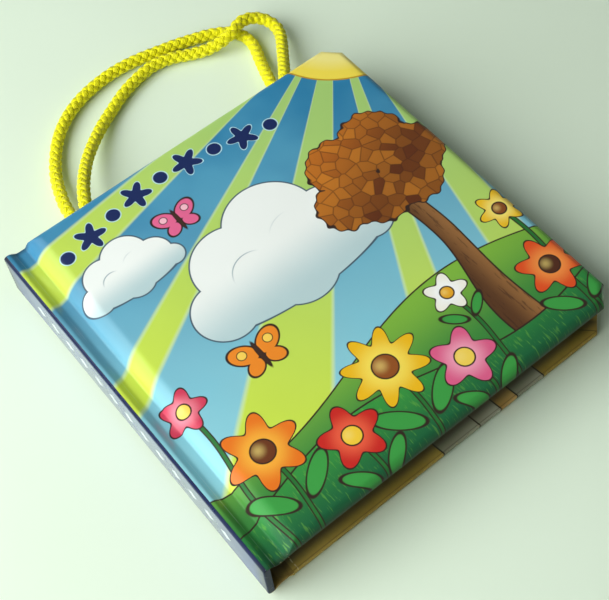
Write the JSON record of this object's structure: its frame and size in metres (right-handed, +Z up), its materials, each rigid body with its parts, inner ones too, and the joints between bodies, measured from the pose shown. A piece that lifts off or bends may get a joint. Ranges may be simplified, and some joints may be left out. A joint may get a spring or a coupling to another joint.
{
  "type": "hardcover book",
  "caption": "Square padded hardcover board book lying closed on its back cover, with hinged covers and braided cord handle loops at the head edge.",
  "frame": {"origin": "middle of the closed book's footprint, on the surface that the back cover rests on", "axes": "+X from the spine to the fore-edge, +Y from tail to head, +Z up through the covers"},
  "size_m": [0.1501, 0.214, 0.024],
  "materials": {
    "leaves": "white coated board leaves",
    "greyboard": "bare grey board",
    "foam": "thin white foam sheet",
    "front_print": "gloss laminated printed paper, blue sky",
    "back_print": "gloss laminated printed paper, olive brown",
    "spine_print": "gloss laminated printed paper, slate blue",
    "cord": "bright yellow round braid"
  },
  "bodies": {
    "block": {"page_block": "leaves", "spine_board": "greyboard", "spine_wrap": "spine_print"},
    "front_cover": {"front_wrap": "front_print", "front_pad": "foam", "front_board": "greyboard", "front_lining": "leaves", "front_tails": "cord", "front_cord": "cord"},
    "back_cover": {"back_wrap": "back_print", "back_pad": "foam", "back_board": "greyboard", "back_lining": "leaves", "back_tails": "cord", "back_cord": "cord"}
  },
  "joints": [
    {"name": "front_hinge", "type": "hinge", "parent": "block", "child": "front_cover", "pos_m": [-0.0676, 0, 0.0235], "axis": [0, -1, 0], "range_deg": [0, 180]},
    {"name": "back_hinge", "type": "hinge", "parent": "block", "child": "back_cover", "pos_m": [-0.0676, 0, 0.0005], "axis": [0, 1, 0], "range_deg": [0, 180]}
  ]
}
